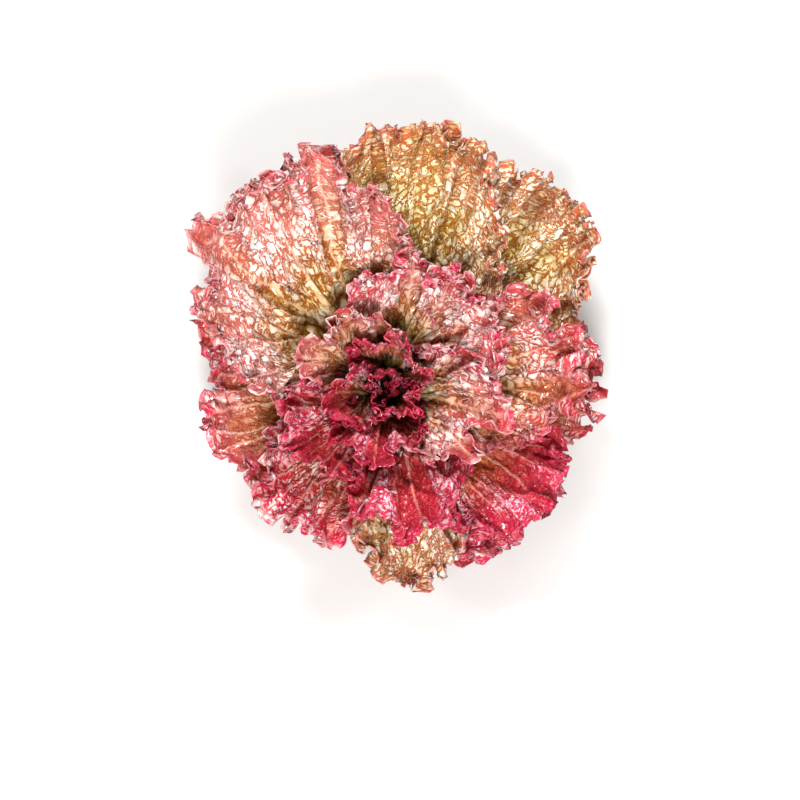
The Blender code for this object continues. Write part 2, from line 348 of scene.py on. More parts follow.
def wrapped(leaf, run, side):
    """Angle round the head of a point on the flat leaf."""
    return WIDEST_TURN * np.tanh(side / wrap_radius(leaf, run) / WIDEST_TURN)


def apart(first, second):
    """Angle from one turn to another, the short way round."""
    return (first - second + math.pi) % (2 * math.pi) - math.pi


def presence(leaf, run, turn):
    """1 where the leaf covers that place of the head, falling to 0 beyond its edge."""
    share = np.clip(apart(turn, leaf.turn) / WIDEST_TURN, -0.999, 0.999)
    side = np.abs(np.arctanh(share) * WIDEST_TURN * wrap_radius(leaf, run))
    centre = FAN_CENTRE * leaf.length
    beyond = np.maximum(run - centre, 0) / (FAN_TIP * leaf.length)
    widen = np.clip(run / centre, 0, 1)
    half = leaf.base_width * 0.75 + (leaf.half_width - leaf.base_width * 0.75) * widen**1.5
    reach = (beyond**FAN_ROUNDNESS + (side / half) ** FAN_ROUNDNESS) ** (1 / FAN_ROUNDNESS)
    fade = np.clip((COVER_END - reach) / COVER_FADE, 0, 1)
    return fade * fade * (3 - 2 * fade)


def room(leaf, leaves, along, across):
    """How far the leaf may wave up and down at each place: half the way to its neighbour or to the axis."""
    run, side = fan_point(leaf, along, across)
    turn = leaf.turn + wrapped(leaf, run, side)
    level = np.full_like(run, leaf.layer)
    scale = layer_room(run, level, turn)
    up = arch(run, level, turn)[0] ** -GAP_BLEND
    down = np.full_like(run, FREE_GAP**-GAP_BLEND)
    for other in leaves:
        if other is leaf:
            continue
        gap = abs(other.layer - leaf.layer) * scale + FREE_GAP * (1 - presence(other, run, turn))
        if other.layer > leaf.layer:
            up += gap**-GAP_BLEND
        else:
            down += gap**-GAP_BLEND
    up, down = (np.maximum(0.5 * total ** (-1 / GAP_BLEND) - GAP_SPARE, 0.0) for total in (up, down))
    return up, down, scale


def between(grid, row, column, smooth=False):
    """Values of a grid at places between its points, straight or eased from one point to the next."""
    low, left = row.astype(int), column.astype(int)
    up_share, right_share = row - low, column - left
    if smooth:
        up_share, right_share = ease(up_share, 0, 1), ease(right_share, 0, 1)
    bottom = grid[low, left] * (1 - right_share) + grid[low, left + 1] * right_share
    top = grid[low + 1, left] * (1 - right_share) + grid[low + 1, left + 1] * right_share
    return bottom * (1 - up_share) + top * up_share


def spread_room(leaf, leaves, along, across):
    """The room at many points, read off a coarser grid of places on the leaf."""
    rows, columns = ROOM_GRID
    places = np.meshgrid(np.linspace(0, 1, rows + 1), np.linspace(-1, 1, columns + 1), indexing="ij")
    grid_along, grid_across = (grid.ravel() for grid in places)
    row = np.minimum(along * rows, rows - 0.001)
    column = np.minimum((np.clip(across, -1, 1) + 1) * columns / 2, columns - 0.001)
    for values in room(leaf, leaves, grid_along, grid_across):
        yield between(values.reshape(rows + 1, columns + 1), row, column)


def ease(value, start, end):
    """0 up to start, 1 from end on, and smooth between."""
    share = np.clip((value - start) / (end - start), 0, 1)
    return share * share * (3 - 2 * share)


def large_waves(leaf, along, across, pleat_phase, pleat_size):
    """Height of the blade's broad waves and pleats above its layer, without the frill of the edge."""
    width = fan_radius(leaf, fan_angle(leaf, across)) * 2 * FAN_TURN / leaf.pleats
    swell = 1 + 0.22 * np.sin(1.5 * math.pi * (across + 1) + leaf.swell[0])
    pleat_share = np.clip((along - PLEAT_START) / (1 - PLEAT_START), 0, 1) ** 1.4
    pleat = -np.cos(pleat_phase) * PLEAT_DEPTH * width * pleat_share * swell * pleat_size
    sway = sum(leaf.sway[n] * np.sin((0.7 + 0.7 * n) * math.pi * across + leaf.swell[n]) for n in range(3))
    return pleat + BROAD_DEPTH * leaf.length * sway * along**1.6 + leaf.cup * across**2 * along


def row_length(leaf, along):
    """Length of a row of the flat leaf, from side to side."""
    across = np.linspace(-1, 1, 161)
    run, side = fan_point(leaf, np.full_like(across, along), across)
    return np.hypot(np.diff(run), np.diff(side)).sum()


class Wander:
    """A smooth random curve over -1 to 1, made of a few sine waves."""

    def __init__(self, draw, rates, size=1.0):
        self.rates = rates
        self.phases = draw.uniform(0, 2 * math.pi, len(rates))
        self.sizes = size * draw.uniform(0.6, 1.0, len(rates)) / math.sqrt(len(rates))

    def __call__(self, across):
        waves = zip(self.rates, self.phases, self.sizes)
        return sum(size * np.sin(math.pi * rate * across + phase) for rate, phase, size in waves)


class Ripple:
    """Waves of about one length along a leaf's edge, unevenly spaced and of uneven strength."""

    def __init__(self, leaf, length, restless):
        self.count = max(4, round(leaf.edge_length / length))
        rates = self.count * np.array([0.11, 0.23, 0.41])
        self.shift = Wander(leaf.draw, rates, restless)
        self.size = Wander(leaf.draw, rates * 1.3, 0.45)
        self.length = leaf.edge_length / self.count

    def phase(self, across):
        return math.pi * self.count * across + self.shift(across)

    def strength(self, across):
        return np.clip(0.9 + self.size(across), 0.25, 1.4)


def dent_map(leaf, face, pitch):
    """Smooth random heights from -1 to 1 over the flat leaf, about a pitch from a rise to a hollow."""
    row, column = (face.run - face.run.min()) / pitch, (face.side - face.side.min()) / pitch
    heights = leaf.draw.uniform(-1, 1, (int(row.max()) + 3, int(column.max()) + 3))
    return between(heights, row, column, smooth=True)


def dents(leaf, face):
    """Height of the blade's large and smaller dents, which begin a way out from its base."""
    pitch, height = DENTS
    total = dent_map(leaf, face, pitch)
    total += 0.5 * dent_map(leaf, face, pitch / 2)
    return height * total * ease(face.along, 0.25, 0.6)


def pleat_folds(leaf, along, across):
    """Phase of the pleats at each place, and the sideways swing that folds them over."""
    wander = Wander(leaf.draw, (1.3, 2.9, 5.1), PLEAT_WANDER)
    aside = wander(across + 0.15 * np.sin(4 * along + leaf.swell[2]))
    phase = math.pi * leaf.pleats * (across + 1) + aside * ease(along, 0.2, 0.8)
    swing = PLEAT_OVERHANG * 2 / leaf.pleats * np.sin(2 * phase) * ease(along, 0.45, 1.0)
    return phase, swing


def edge_roll(leaf, inward, across):
    """How far the edge rises as it rolls up, and how much it draws in."""
    reach = ROLL_REACH * leaf.edge_scale
    wander = Wander(leaf.draw, (2.3, 4.7, 8.9), ROLL_SWING)
    turn = (ROLL_TURN + wander(across)) * (1 - ROLL_INNER * leaf.layer)
    turn = np.where(np.abs(turn) < ROLL_LEAST, ROLL_LEAST, turn)
    share = np.clip(1 - inward / reach, 0, 1)
    return reach * (1 - np.cos(turn * share)) / turn, reach * (share - np.sin(turn * share) / turn)


def folded_wave(leaf, wave, inward, across):
    """Height of the edge's ruffles or crimps, and the sideways swing that folds them over."""
    length, depth, reach, overhang = wave
    ripple = Ripple(leaf, length * (1 - INNER_FINER * leaf.inner), WAVE_WANDER)
    depth *= 1 - INNER_FLATTER * leaf.inner
    share = np.clip(1 - inward / (reach * leaf.edge_scale), 0, 1) ** 1.1 * ripple.strength(across)
    phase = ripple.phase(across)
    height = np.sin(phase) * depth * ripple.length * share
    swing = -overhang * 2 / ripple.count * np.sin(2 * phase) * np.minimum(share, 1)
    return height, swing


def outline_reach(leaf, inward, across):
    """How much further than the smooth fan the leaf reaches: lobes with narrow notches, and teeth on them."""
    reach = np.zeros_like(across)
    for length, depth in LOBES:
        ripple = Ripple(leaf, length, LOBE_WANDER)
        lobe = np.abs(np.sin(0.5 * ripple.phase(across))) ** LOBE_ROUNDNESS - LOBE_LEVEL
        share = np.clip(1 - inward / (depth * LOBE_REACH), 0, 1)
        reach += depth * lobe * ripple.strength(across) * share
    return reach * leaf.edge_scale


def rib_lines(leaf, along):
    """The leaf's ribs, each as where it lies across, the share along where it begins, and its stoutness."""
    draw = leaf.draw
    yield 0.02 * np.sin(5 * along + leaf.swell[1]), -0.1, 1.0
    for start, place in RIB_PAIRS:
        for way in (-1, 1):
            begin = start + draw.uniform(-0.025, 0.025)
            end = way * place + draw.uniform(-0.03, 0.03)
            grown = 1 - np.exp(-np.maximum(along - begin, 0) / RIB_SPREAD)
            centre = end * grown + 0.016 * np.sin(9 * along + draw.uniform(0, 6))
            centre += 0.007 * np.sin(26 * along + draw.uniform(0, 6))
            yield centre, begin, 0.56
            for fork_start, fork_place in RIB_FORKS:
                fork = fork_start + draw.uniform(-0.07, 0.07)
                aside = fork_place * (1 - np.exp(-np.maximum(along - fork, 0) / 0.16))
                yield centre + aside * draw.uniform(0.8, 1.2), fork, 0.34


def rib_map(leaf, face):
    """Distance to the nearest rib with its side as the sign, half the rib's width, and its stoutness."""
    along, across = face.along, face.across
    nearest = np.full_like(along, 1.0)
    half_width = np.full_like(along, RIB_THINNEST)
    stoutness = np.zeros_like(along)
    for centre, begin, stout in rib_lines(leaf, along):
        taper = np.clip(1.1 - along, 0.05, 1) ** 1.4
        width = np.maximum(stout * RIB_WIDTH * taper * leaf.length / 0.14, RIB_THINNEST)
        away = (across - centre) * face.row_half
        hidden = np.maximum(begin - along, 0) * leaf.length
        away = np.where(hidden > 0, np.hypot(away, hidden) + 0.002, away)
        nearer = np.abs(away) < np.abs(nearest)
        nearest = np.where(nearer, away, nearest)
        half_width = np.where(nearer, width, half_width)
        stoutness = np.where(nearer, stout, stoutness)
    return nearest, half_width, stoutness


def puff_map(leaf, face):
    """How high each place lies on its puff, and the puff's draw. Puffs are long along the fan's rays."""
    run, side, ray = face.run, face.side, face.rays(leaf)
    width, length, _ = PUFFS
    pitch = math.sqrt(width * length) * 0.93
    draw = leaf.draw
    low_run, low_side = run.min() - 3 * pitch, side.min() - 3 * pitch
    shape = (int((run.max() - low_run) / pitch) + 6, int((side.max() - low_side) / pitch) + 6)
    seeds = draw.uniform(0.05, 0.95, (*shape, 2))
    luck = draw.uniform(0, 1, shape)
    cell_run = ((run - low_run) / pitch).astype(int)
    cell_side = ((side - low_side) / pitch).astype(int)
    first = np.full_like(run, 9.0)
    second = np.full_like(run, 9.0)
    owner = np.zeros_like(run)
    for step_run in range(-2, 3):
        for step_side in range(-2, 3):
            i = np.clip(cell_run + step_run, 0, shape[0] - 1)
            j = np.clip(cell_side + step_side, 0, shape[1] - 1)
            away_run = run - (low_run + (i + seeds[i, j, 0]) * pitch)
            away_side = side - (low_side + (j + seeds[i, j, 1]) * pitch)
            lengthwise = (away_run * ray[0] + away_side * ray[1]) / length
            crosswise = (away_side * ray[0] - away_run * ray[1]) / width
            distance = np.hypot(lengthwise, crosswise)
            nearer = distance < first
            second = np.where(nearer, first, np.minimum(second, distance))
            owner = np.where(nearer, luck[i, j], owner)
            first = np.where(nearer, distance, first)
    return 1 - (1 - np.clip((second - first) / 0.45, 0, 1)) ** 2, owner


def leaf_rows(leaf):
    """The fine leaf's rows as (along, spans) pairs. The spans double where a row gets too long for them."""
    coarser = LOW_COARSER if leaf.order <= LOW_LEAVES else 1.0
    rows, along, spans = [], 0.0, FIRST_SPANS
    while along < 1:
        inward = (1 - midrib_share(along)) * leaf.length
        share = 1 - float(ease(inward, *EDGE_ZONE))
        spacing = coarser * (BLADE_SPACING + (EDGE_SPACING - BLADE_SPACING) * share)
        step = coarser * (BLADE_STEP + (EDGE_STEP - BLADE_STEP) * share)
        if row_length(leaf, along) / spacing > SPAN_STRETCH * spans:
            spans *= 2
        rows.append((along, spans))
        along += step / (leaf.length * (2 * ROW_BEND * (1 - 2 * along) + 2 * along))
    rows.append((1.0, spans))
    return rows


def leaf_faces(rows):
    """Triangles between the rows, also where a row has twice the spans of the one below it."""
    faces = []
    start = 0
    for (_, low_spans), (_, high_spans) in zip(rows, rows[1:]):
        above = start + low_spans + 1
        span = np.arange(low_spans)
        low = start + span
        if high_spans == low_spans:
            high = above + span
            faces.append(np.stack([low, high + 1, high], -1))
            faces.append(np.stack([low, low + 1, high + 1], -1))
        else:
            high = above + 2 * span
            faces.append(np.stack([low, high + 1, high], -1))
            faces.append(np.stack([low, low + 1, high + 1], -1))
            faces.append(np.stack([low + 1, high + 2, high + 1], -1))
        start = above
    return np.concatenate(faces)


def push_out(points, faces, height):
    """Moves the points along their normals, which come from the faces round each."""
    corners = [points[faces[:, n]] for n in range(3)]
    normal = np.cross(corners[1] - corners[0], corners[2] - corners[0])
    total = np.zeros_like(points)
    for n in range(3):
        for axis in range(3):
            total[:, axis] += np.bincount(faces[:, n], normal[:, axis], len(points))
    total /= np.maximum(np.linalg.norm(total, axis=1, keepdims=True), 1e-12)
    points += total * height[:, None]


class Face:
    """A fine leaf's upper face: where its points lie on the flat leaf, and the triangles between them."""

    def __init__(self, leaf):
        rows = leaf_rows(leaf)
        self.triangles = leaf_faces(rows)
        self.along = np.concatenate([np.full(spans + 1, place) for place, spans in rows])
        self.across = np.concatenate([np.linspace(-1, 1, spans + 1) for _, spans in rows])
        halves = [np.full(spans + 1, row_length(leaf, place) / 2) for place, spans in rows]
        self.row_half = np.concatenate(halves)
        self.run, self.side = fan_point(leaf, self.along, self.across)
        edge_run, edge_side = fan_point(leaf, np.ones_like(self.along), self.across)
        self.inward = (1 - midrib_share(self.along)) * np.hypot(edge_run, edge_side)

    def rays(self, leaf):
        """Direction of the fan's ray at each point."""
        ahead_run, ahead_side = fan_point(leaf, np.minimum(self.along + 0.01, 1.01), self.across)
        ray = np.stack([ahead_run - self.run, ahead_side - self.side])
        return ray / np.maximum(np.hypot(*ray), 1e-9)


def folded_points(leaf, leaves, face):
    """The leaf's points, folded as far as there is room, and how high on a fold each lies, from 0 to 1."""
    along, across, inward = face.along, face.across, face.inward
    ruffle, ruffle_swing = folded_wave(leaf, RUFFLE, inward, across)
    crimp, crimp_swing = folded_wave(leaf, CRIMP, inward, across)
    crinkle, crinkle_swing = folded_wave(leaf, CRINKLE, inward, across)
    pleat_phase, pleat_swing = pleat_folds(leaf, along, across)
    roll_rise, roll_in = edge_roll(leaf, inward, across)
    longer = outline_reach(leaf, inward, across) - roll_in
    longer += ROLL_LONGER * np.maximum(roll_in.max() - inward, 0)
    swing = pleat_swing + ruffle_swing + crimp_swing + crinkle_swing
    run, side = fan_point(leaf, along, across + swing, longer)
    run -= ROOT_SINK * (1 - along) ** 6
    turn = leaf.turn + wrapped(leaf, run, side)

    up, down, scale = spread_room(leaf, leaves, along, across)
    blade_dents = dents(leaf, face)
    pleat_size = np.clip(0.62 + Wander(leaf.draw, (1.1, 2.3, 3.9), PLEAT_UNEVEN)(across), 0.12, 1.15)
    wanted = large_waves(leaf, along, across, pleat_phase, pleat_size) + blade_dents
    wanted *= np.sqrt(1 - (NARROWEST_RADIUS / wrap_radius(leaf, run)) ** 2)
    limit = np.where(wanted > 0, up, down) + 1e-6
    offset = limit * np.tanh(wanted / limit)
    lift = np.minimum(roll_rise, np.maximum(up - offset, 0)) + np.maximum(np.abs(ruffle) - down, 0) * 0.5
    radius, height = arch(run, np.clip(leaf.layer + (offset + lift) / scale, -0.08, 1.05), turn)
    points = world(radius, turn, height)
    ruffle_room = np.maximum(np.minimum(up, down), LEAST_RUFFLE_ROOM)
    push_out(points, face.triangles, ruffle_room * np.tanh(ruffle / ruffle_room))
    push_out(points, face.triangles, crimp + crinkle)
    return points, np.clip(0.5 + 13 * wanted / leaf.length + 50 * ruffle, 0, 1)


def net_places(leaf, face):
    """Each point's place in the blister net, along and across, and how wide the net's cells are there."""
    midrib_run = midrib_share(face.along) * leaf.length
    outward = arch(midrib_run, leaf.layer, leaf.turn)[0]
    net_run = midrib_run + (outward - midrib_run) * NET_OUTWARD
    return [
        net_run * 100 * leaf.fineness + NET_SHIFT * leaf.order,
        face.across * leaf.edge_length * 50 * leaf.fineness,
        face.row_half * 2 / leaf.edge_length,
    ]


def leaf_surface(leaf, leaves):
    """Points of a fine leaf's upper face, the flat face, the surface maps, and the stoutness of its ribs."""
    face = Face(leaf)
    points, crest = folded_points(leaf, leaves, face)
    rib_away, rib_half, stout = rib_map(leaf, face)
    near = np.exp(-((rib_away / np.maximum(rib_half * 1.4, 0.0006)) ** 2))
    puff, puff_luck = puff_map(leaf, face)
    net = net_places(leaf, face)
    blister, blister_luck = read_net(net, face.along)

    grown = ease(face.along, 0.12, 0.34) * (0.35 + 0.65 * ease(face.inward, 0.0, 0.008)) * (1 - 0.85 * near)
    size = 0.55 + 0.45 * min(leaf.length / 0.11, 1.15)
    relief = PUFFS[2] * puff * (0.5 + 0.7 * puff_luck)
    relief += BLISTER_HEIGHT / leaf.fineness * blister * (0.6 + 0.6 * blister_luck)
    relief *= grown * size
    relief -= RIB_GROOVE * near * ease(face.along, 0.0, 0.25) * (rib_half / 0.001).clip(0, 1)
    push_out(points, face.triangles, relief)
    points[:, 2] = np.maximum(points[:, 2], LOWEST_POINT)

    rib_sure = np.clip(1.6 - np.abs(rib_away) / 0.0030, 0, 1)
    maps = {
        "net": net,
        "zone": [face.along, face.inward * 1000, crest],
        "tint": [np.full_like(face.along, share) for share in leaf.tint],
        "puff": [puff] * 3,
        "rib": [np.clip(rib_away * 1000, -6, 6), rib_sure, rib_half * 1000],
    }
    stout = stout * np.exp(-((rib_away / np.maximum(rib_half * 1.2, 0.0007)) ** 2))
    return points, face, maps, stout


def add_maps(mesh, maps):
    """Writes maps of three numbers a point onto a mesh."""
    for name, values in maps.items():
        values = np.stack(values, -1).astype(np.float32)
        mesh.attributes.new(name, "FLOAT_VECTOR", "POINT").data.foreach_set("vector", values.ravel())


def thicken(piece, leaf, along, stout):
    """Makes the face a closed blade, thick at its base and where a rib stands out below it."""
    root = np.clip(1 - along / 0.5, 0, 1) ** 1.6 * (0.35 + 0.25 * leaf.length / 0.16)
    share = np.clip(np.maximum(root, stout * (0.25 + 0.6 * np.clip(1 - along, 0, 1))), 0, 1)
    group = piece.vertex_groups.new(name="stoutness")
    levels = np.round(share * STOUT_LEVELS).astype(int)
    for level in np.unique(levels):
        group.add(np.flatnonzero(levels == level).tolist(), level / STOUT_LEVELS, "REPLACE")
    blade = piece.modifiers.new("blade", "SOLIDIFY")
    blade.thickness = ROOT_THICK * (1 - 0.5 * leaf.layer)
    blade.offset = -1
    blade.vertex_group = group.name
    blade.thickness_vertex_group = BLADE_THICK / blade.thickness


def make_leaf(leaf, leaves, material):
    """The fine leaf as a closed blade with ribs that stand out below it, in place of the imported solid."""
    points, face, maps, stout = leaf_surface(leaf, leaves)
    mesh = bpy.data.meshes.new(f"fine_{leaf.name}")
    mesh.from_pydata(points, [], face.triangles)
    mesh.shade_smooth()
    add_maps(mesh, maps)
    mesh.materials.append(material)
    piece = bpy.data.objects.new(f"fine_{leaf.name}", mesh)
    bpy.context.scene.collection.objects.link(piece)
    thicken(piece, leaf, face.along, stout)
    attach(piece, "root")
    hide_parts(leaf.name)


def linear(red, green, blue):
    """Colour of a shader from the three values of a screen colour, 0 to 255."""
    values = []
    for value in (red, green, blue):
        value /= 255
        values.append(value / 12.92 if value <= 0.04045 else ((value + 0.055) / 1.055) ** 2.4)
    return (*values, 1.0)


class Field:
    """A number that varies over a surface. Arithmetic on it adds Math nodes."""

    def __init__(self, nodes, socket):
        self.nodes = nodes
        self.socket = socket

    def maths(self, operation, *values):
        return self.nodes.node("ShaderNodeMath", {"operation": operation}, dict(enumerate(values)))

    def __add__(self, other):
        return self.maths("ADD", self, other)

    def __radd__(self, other):
        return self.maths("ADD", other, self)

    def __sub__(self, other):
        return self.maths("SUBTRACT", self, other)

    def __rsub__(self, other):
        return self.maths("SUBTRACT", other, self)

    def __mul__(self, other):
        return self.maths("MULTIPLY", self, other)

    def __rmul__(self, other):
        return self.maths("MULTIPLY", other, self)

    def __truediv__(self, other):
        return self.maths("DIVIDE", self, other)

    def __pow__(self, other):
        return self.maths("POWER", self, other)

    def least(self, other):
        """The smaller of two numbers."""
        return self.maths("MINIMUM", self, other)

    def size(self):
        """The same number without its sign."""
        return self.maths("ABSOLUTE", self)

    def held(self):
        """The same number, kept between 0 and 1."""
        return self.nodes.node("ShaderNodeClamp", {}, {"Value": self})

    def eased(self, start, end):
        """0 up to start, 1 from end on, and smooth between."""
        inputs = {"Value": self, "From Min": start, "From Max": end}
        return self.nodes.node("ShaderNodeMapRange", {"interpolation_type": "SMOOTHSTEP"}, inputs)


class Nodes:
    """A node tree, and the nodes that are added to it."""

    def __init__(self, tree):
        self.tree = tree

    def node(self, kind, settings, inputs, output=0):
        """A node of a type, with its settings and then the values or links of its sockets."""
        made = self.tree.nodes.new(kind)
        for name, value in settings.items():
            if name == "stops":
                self.set_stops(made.color_ramp, value)
            else:
                setattr(made, name, value)
        for name, value in inputs.items():
            self.feed(made.inputs[name], value)
        return None if output is None else Field(self, made.outputs[output])

    def set_stops(self, ramp, stops):
        while len(ramp.elements) < len(stops):
            ramp.elements.new(1.0)
        for element, (place, colour) in zip(ramp.elements, stops):
            element.position = place
            element.color = colour

    def feed(self, socket, value):
        if isinstance(value, Field):
            self.tree.links.new(value.socket, socket)
        else:
            socket.default_value = value

    def parts(self, vector):
        """The three numbers of a vector."""
        return [self.node("ShaderNodeSeparateXYZ", {}, {0: vector}, axis) for axis in range(3)]

    def vector(self, x, y, z=0.0):
        return self.node("ShaderNodeCombineXYZ", {}, {0: x, 1: y, 2: z})

    def blend(self, share, first, second, how="MIX"):
        """Two colours mixed, with share of the second one."""
        settings = {"data_type": "RGBA", "blend_type": how}
        return self.node("ShaderNodeMix", settings, {0: share, 6: first, 7: second}, 2)

    def ramp(self, value, stops):
        return self.node("ShaderNodeValToRGB", {"stops": stops}, {0: value})

    def noise(self, place, scale, detail=2.0, rough=0.5):
        inputs = {"Vector": place, "Scale": scale, "Detail": detail, "Roughness": rough}
        return self.node("ShaderNodeTexNoise", {}, inputs)

    def cells(self, place):
        """Distance to the nearest border between cells about 1 wide."""
        settings = {"voronoi_dimensions": "2D", "feature": "DISTANCE_TO_EDGE"}
        return self.node("ShaderNodeTexVoronoi", settings, {"Vector": place, "Scale": 1.0})

    def cell_luck(self, place):
        """A random number for each of the same cells."""
        inputs = {"Vector": place, "Scale": 1.0}
        return self.parts(self.node("ShaderNodeTexVoronoi", {"voronoi_dimensions": "2D"}, inputs, "Color"))[0]


class Finish(Nodes):
    """A material and the nodes that make it."""

    def __init__(self, name):
        self.material = bpy.data.materials.new(name)
        self.material.use_nodes = True
        super().__init__(self.material.node_tree)
        self.shader = self.tree.nodes["Principled BSDF"]

    def set(self, **inputs):
        """Values or links of the shader's own sockets, with their names' spaces written as underscores."""
        for name, value in inputs.items():
            self.feed(self.shader.inputs[name.replace("_", " ")], value)

    def map(self, name):
        """The three numbers of a map that the leaf's mesh carries."""
        return self.parts(self.node("ShaderNodeAttribute", {"attribute_name": name}, {}, "Vector"))


def blister_net(nodes, place, along):
    """How far in from the nearest groove a place lies, in mm, and a random draw for each blister.

    The widest cells begin at the base, and finer ones part them further out, one after another.
    """
    cells_along, cells_across, stretch = place
    flat = nodes.vector(cells_along, cells_across)
    sway = (nodes.noise(flat, 1.1, 1.0) - 0.5) * NET_SWAY
    twist = (nodes.noise(flat, 2.7, 2.0, 0.7) - 0.5) * NET_TWIST
    inwards, total = None, None
    for rows, columns, start, end in NET_LEVELS:
        cell = nodes.vector((cells_along + sway - twist) * rows, (cells_across + sway + twist) * columns)
        border = nodes.cells(cell) * stretch * (10 / columns)
        luck = nodes.cell_luck(cell)
        if inwards is None:
            inwards, total = border, luck
        else:
            begun = (along + (total - 0.5) * 0.16).eased(start, end)
            inwards = inwards.least(border + (1 - begun) * 3.0)
            total = total * 0.5 + luck * 0.5
    return inwards, total


def net_reader():
    """Geometry nodes that write the blister net onto a mesh's points."""
    tree = bpy.data.node_groups.new("net_reader", "GeometryNodeTree")
    for way in ("INPUT", "OUTPUT"):
        tree.interface.new_socket("Geometry", in_out=way, socket_type="NodeSocketGeometry")
    nodes = Nodes(tree)
    kind = {"data_type": "FLOAT_VECTOR"}
    place = nodes.parts(nodes.node("GeometryNodeInputNamedAttribute", kind, {"Name": "place"}))
    along = nodes.parts(nodes.node("GeometryNodeInputNamedAttribute", kind, {"Name": "along"}))[0]
    inwards, luck = blister_net(nodes, place, along)
    points = nodes.node("NodeGroupInput", {}, {})
    inputs = {"Geometry": points, "Name": "net", "Value": nodes.vector(inwards, luck)}
    points = nodes.node("GeometryNodeStoreNamedAttribute", kind, inputs)
    nodes.node("NodeGroupOutput", {}, {0: points}, None)
    return tree


def read_net(place, along):
    """How high each point of a leaf lies on its blister, and the draw, from the nodes of its finish."""
    mesh = bpy.data.meshes.new("net_points")
    mesh.from_pydata(np.zeros((len(along), 3)), [], [])
    add_maps(mesh, {"place": place, "along": [along] * 3})
    piece = bpy.data.objects.new("net_points", mesh)
    bpy.context.scene.collection.objects.link(piece)
    reader = bpy.data.node_groups.get("net_reader") or net_reader()
    piece.modifiers.new("net", "NODES").node_group = reader
    found = piece.evaluated_get(bpy.context.evaluated_depsgraph_get()).data.attributes["net"]
    values = np.zeros(3 * len(along), np.float32)
    found.data.foreach_get("vector", values)
    bpy.data.objects.remove(piece)
    bpy.data.meshes.remove(mesh)
    inwards, luck, _ = values.reshape(-1, 3).T
    return 1 - (1 - np.clip(inwards / BLISTER_ROUND, 0, 1)) ** 2, luck


# Colours along a leaf from its base to its edge, for a golden, an olive and a red leaf: in the grooves
# between the blisters, on their sides, on their tops, which are painted highlight, and in the valleys between
# the folds, which are painted shade
GOLDEN = (
    (
        (0.08, linear(96, 112, 20)),
        (0.30, linear(130, 116, 30)),
        (0.48, linear(150, 94, 28)),
        (0.72, linear(168, 86, 42)),
        (0.92, linear(190, 78, 68)),
    ),
    (
        (0.00, linear(188, 202, 118)),
        (0.14, linear(164, 170, 60)),
        (0.32, linear(204, 172, 80)),
        (0.52, linear(214, 166, 88)),
        (0.75, linear(224, 166, 118)),
        (0.94, linear(234, 170, 156)),
    ),
    (
        (0.10, linear(206, 204, 96)),
        (0.34, linear(236, 206, 132)),
        (0.58, linear(240, 206, 168)),
        (0.90, linear(246, 212, 208)),
    ),
    (
        (0.20, linear(112, 124, 22)),
        (0.45, linear(150, 122, 34)),
        (0.68, linear(184, 112, 52)),
        (0.90, linear(206, 84, 62)),
    ),
)
OLIVE = (
    (
        (0.10, linear(78, 98, 6)),
        (0.35, linear(126, 94, 8)),
        (0.65, linear(162, 92, 20)),
        (0.95, linear(182, 88, 50)),
    ),
    (
        (0.00, linear(166, 188, 70)),
        (0.25, linear(134, 158, 18)),
        (0.55, linear(192, 174, 48)),
        (0.85, linear(220, 180, 96)),
    ),
    (
        (0.15, linear(206, 208, 84)),
        (0.45, linear(242, 224, 156)),
        (0.90, linear(248, 222, 194)),
    ),
    (
        (0.20, linear(96, 124, 8)),
        (0.50, linear(124, 134, 18)),
        (0.75, linear(158, 134, 40)),
        (0.92, linear(190, 120, 76)),
    ),
)
RED = (
    (
        (0.08, linear(108, 84, 18)),
        (0.28, linear(150, 60, 34)),
        (0.48, linear(156, 24, 26)),
        (0.80, linear(156, 12, 38)),
        (0.95, linear(190, 26, 66)),
    ),
    (
        (0.00, linear(204, 190, 116)),
        (0.14, linear(176, 124, 44)),
        (0.30, linear(204, 100, 70)),
        (0.52, linear(192, 62, 60)),
        (0.78, linear(188, 46, 60)),
        (0.95, linear(216, 78, 102)),
    ),
    (
        (0.12, linear(226, 186, 110)),
        (0.40, linear(248, 190, 172)),
        (0.70, linear(252, 204, 206)),
        (0.95, linear(252, 210, 220)),
    ),
    (
        (0.20, linear(124, 96, 20)),
        (0.40, linear(160, 56, 30)),
        (0.70, linear(158, 16, 30)),
        (0.92, linear(198, 36, 54)),
    ),
)
RIB_COLOURS = (
    (0.00, linear(228, 230, 176)),
    (0.35, linear(226, 208, 132)),
    (0.62, linear(240, 200, 158)),
    (0.95, linear(238, 180, 160)),
)
# Cream: the palest painted highlight on the blister tops of pale leaves, and flecks at the rim
CREAM = linear(250, 240, 230)
FROST = linear(238, 184, 176)
RIM_RED = linear(194, 22, 70)
RIM_CORAL = linear(216, 86, 90)
RIM_PINK = linear(242, 158, 176)
EDGE_RED = linear(164, 20, 44)

# Random patterns of the skin: scale and detail of the noise
DRIFT = (26.0, 3.0)
MOTTLE = (160.0, 3.0)
FINE = (620.0, 2.0)
GRAIN = (1100.0, 1.0)

# Wrinkles and creases across the blisters: how much finer than the net they are, along and across, and
# their detail
WRINKLES = (5.0, 11.0, 2.0)
CREASES = (4.0, 9.0, 1.0)


